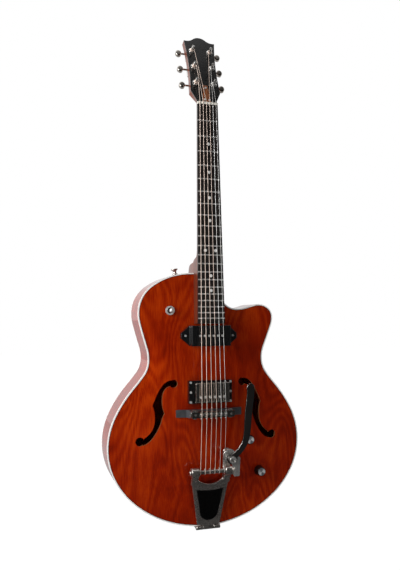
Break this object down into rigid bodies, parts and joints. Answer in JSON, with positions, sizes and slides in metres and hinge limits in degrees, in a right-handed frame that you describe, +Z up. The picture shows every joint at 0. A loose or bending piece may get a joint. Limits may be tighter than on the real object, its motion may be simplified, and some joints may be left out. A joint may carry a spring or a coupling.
{
  "type": "archtop guitar",
  "caption": "Hollow archtop electric guitar with a rounded cutaway, f-shaped sound holes, pickups and a sprung vibrato tailpiece.",
  "frame": {"origin": "on the tail of the rim, on the centre line and at mid depth, where the strap button seats", "axes": "+Z up the neck, +X to the treble side, +Y to the back, so the top faces -Y"},
  "size_m": [0.4094, 0.1588, 1.0462],
  "materials": {
    "cherry_top": "clear gloss lacquer over cherry-stained maple laminate",
    "cherry_back": "clear gloss lacquer over cherry-stained maple laminate",
    "raw_wood": "bare softwood",
    "white_binding": "polished celluloid",
    "mahogany": "satin lacquered mahogany",
    "head_veneer": "black gloss",
    "rosewood": "oiled dark rosewood",
    "burl_cover": "lacquered burl veneer",
    "nickel": "polished nickel plate",
    "black_plastic": "moulded gloss black",
    "black_panel": "black enamel",
    "cast_aluminium": "aged satin cast aluminium",
    "steel": "bright steel wire and pins",
    "copper_coil": "enamelled copper winding"
  },
  "bodies": {
    "instrument": {"top_plate": "cherry_top", "back_plate": "cherry_back", "sides": "cherry_back", "linings": "raw_wood", "tone_bars": "raw_wood", "end_blocks": "raw_wood", "body_binding": "white_binding", "position_dots": "white_binding", "nut": "white_binding", "neck": "mahogany", "headstock_veneer": "head_veneer", "fingerboard": "rosewood", "bridge_base": "rosewood", "truss_rod_cover": "burl_cover", "frets": "nickel", "tuner_housings": "nickel", "tuner_bushes": "nickel", "mounting_screws": "nickel", "bridge_pickup_cover": "nickel", "pole_screws": "nickel", "bridge_posts": "nickel", "bridge_thumbwheels": "nickel", "bridge_body": "nickel", "bridge_saddles": "nickel", "saddle_screws": "nickel", "strap_buttons": "nickel", "output_jack": "nickel", "control_nuts": "nickel", "neck_pickup_cover": "black_plastic", "bridge_pickup_ring": "black_plastic", "toggle_switch_body": "black_plastic", "tailpiece_panel": "black_panel", "tailpiece_frame": "cast_aluminium", "tail_bracket": "cast_aluminium", "truss_rod": "steel", "tailpiece_hinge_pin": "steel", "axle_bearings": "steel", "control_pots": "steel", "vibrato_spring": "steel", "strings": "steel", "pickup_coils": "copper_coil"},
    "vibrato": {"string_axle": "nickel", "rocker_bracket": "cast_aluminium", "arm_stud": "nickel"},
    "arm": {"vibrato_arm": "cast_aluminium"},
    "volume": {"volume_knob": "black_plastic"},
    "tone": {"tone_knob": "black_plastic"},
    "toggle": {"toggle_lever": "nickel"},
    "button_1": {"tuner_button_1": "nickel"},
    "post_1": {"tuner_post_1": "nickel"},
    "button_2": {"tuner_button_2": "nickel"},
    "post_2": {"tuner_post_2": "nickel"},
    "button_3": {"tuner_button_3": "nickel"},
    "post_3": {"tuner_post_3": "nickel"},
    "button_4": {"tuner_button_4": "nickel"},
    "post_4": {"tuner_post_4": "nickel"},
    "button_5": {"tuner_button_5": "nickel"},
    "post_5": {"tuner_post_5": "nickel"},
    "button_6": {"tuner_button_6": "nickel"},
    "post_6": {"tuner_post_6": "nickel"}
  },
  "joints": [
    {"name": "button_1_turn", "type": "hinge", "parent": "instrument", "child": "button_1", "pos_m": [-0.0198, -0.01356, 0.91277], "axis": [1, 0, 0], "continuous": true},
    {"name": "post_1_turn", "type": "hinge", "parent": "instrument", "child": "post_1", "pos_m": [-0.0198, -0.03343, 0.91225], "axis": [0, -0.9403, 0.3404], "continuous": true},
    {"name": "button_2_turn", "type": "hinge", "parent": "instrument", "child": "button_2", "pos_m": [-0.0198, 0.00107, 0.95321], "axis": [1, 0, 0], "continuous": true},
    {"name": "post_2_turn", "type": "hinge", "parent": "instrument", "child": "post_2", "pos_m": [-0.0198, -0.01879, 0.95268], "axis": [0, -0.9403, 0.3404], "continuous": true},
    {"name": "button_3_turn", "type": "hinge", "parent": "instrument", "child": "button_3", "pos_m": [-0.0198, 0.01571, 0.99364], "axis": [1, 0, 0], "continuous": true},
    {"name": "post_3_turn", "type": "hinge", "parent": "instrument", "child": "post_3", "pos_m": [-0.0198, -0.00415, 0.99312], "axis": [0, -0.9403, 0.3404], "continuous": true},
    {"name": "button_4_turn", "type": "hinge", "parent": "instrument", "child": "button_4", "pos_m": [0.0198, -0.01356, 0.91277], "axis": [1, 0, 0], "continuous": true},
    {"name": "post_4_turn", "type": "hinge", "parent": "instrument", "child": "post_4", "pos_m": [0.0198, -0.03343, 0.91225], "axis": [0, -0.9403, 0.3404], "continuous": true},
    {"name": "button_5_turn", "type": "hinge", "parent": "instrument", "child": "button_5", "pos_m": [0.0198, 0.00107, 0.95321], "axis": [1, 0, 0], "continuous": true},
    {"name": "post_5_turn", "type": "hinge", "parent": "instrument", "child": "post_5", "pos_m": [0.0198, -0.01879, 0.95268], "axis": [0, -0.9403, 0.3404], "continuous": true},
    {"name": "button_6_turn", "type": "hinge", "parent": "instrument", "child": "button_6", "pos_m": [0.0198, 0.01571, 0.99364], "axis": [1, 0, 0], "continuous": true},
    {"name": "post_6_turn", "type": "hinge", "parent": "instrument", "child": "post_6", "pos_m": [0.0198, -0.00415, 0.99312], "axis": [0, -0.9403, 0.3404], "continuous": true},
    {"name": "vibrato_rock", "type": "hinge", "parent": "instrument", "child": "vibrato", "pos_m": [0, -0.07128, 0.11561], "axis": [-1, 0, 0], "range_deg": [-4, 5], "stiffness_Nm_per_rad": 30, "deforming": ["vibrato_spring"]},
    {"name": "arm_swing", "type": "hinge", "parent": "vibrato", "child": "arm", "pos_m": [0.036, -0.08339, 0.14256], "axis": [0, -0.988, -0.1547], "range_deg": [-100, 15]},
    {"name": "volume_turn", "type": "hinge", "parent": "instrument", "child": "volume", "pos_m": [0.0842, -0.06, 0.1713], "axis": [0, -1, 0], "range_deg": [-150, 150]},
    {"name": "tone_turn", "type": "hinge", "parent": "instrument", "child": "tone", "pos_m": [0.1106, -0.06, 0.104], "axis": [0, -1, 0], "range_deg": [-150, 150]},
    {"name": "toggle_throw", "type": "hinge", "parent": "instrument", "child": "toggle", "pos_m": [-0.0785, -0.0392, 0.435], "axis": [1, 0, 0], "range_deg": [-12, 12]}
  ],
  "couplings": [
    {"joint": "post_1_turn", "follows": "button_1_turn", "ratio": 0.071429},
    {"joint": "post_2_turn", "follows": "button_2_turn", "ratio": 0.071429},
    {"joint": "post_3_turn", "follows": "button_3_turn", "ratio": 0.071429},
    {"joint": "post_4_turn", "follows": "button_4_turn", "ratio": 0.071429},
    {"joint": "post_5_turn", "follows": "button_5_turn", "ratio": 0.071429},
    {"joint": "post_6_turn", "follows": "button_6_turn", "ratio": 0.071429}
  ]
}
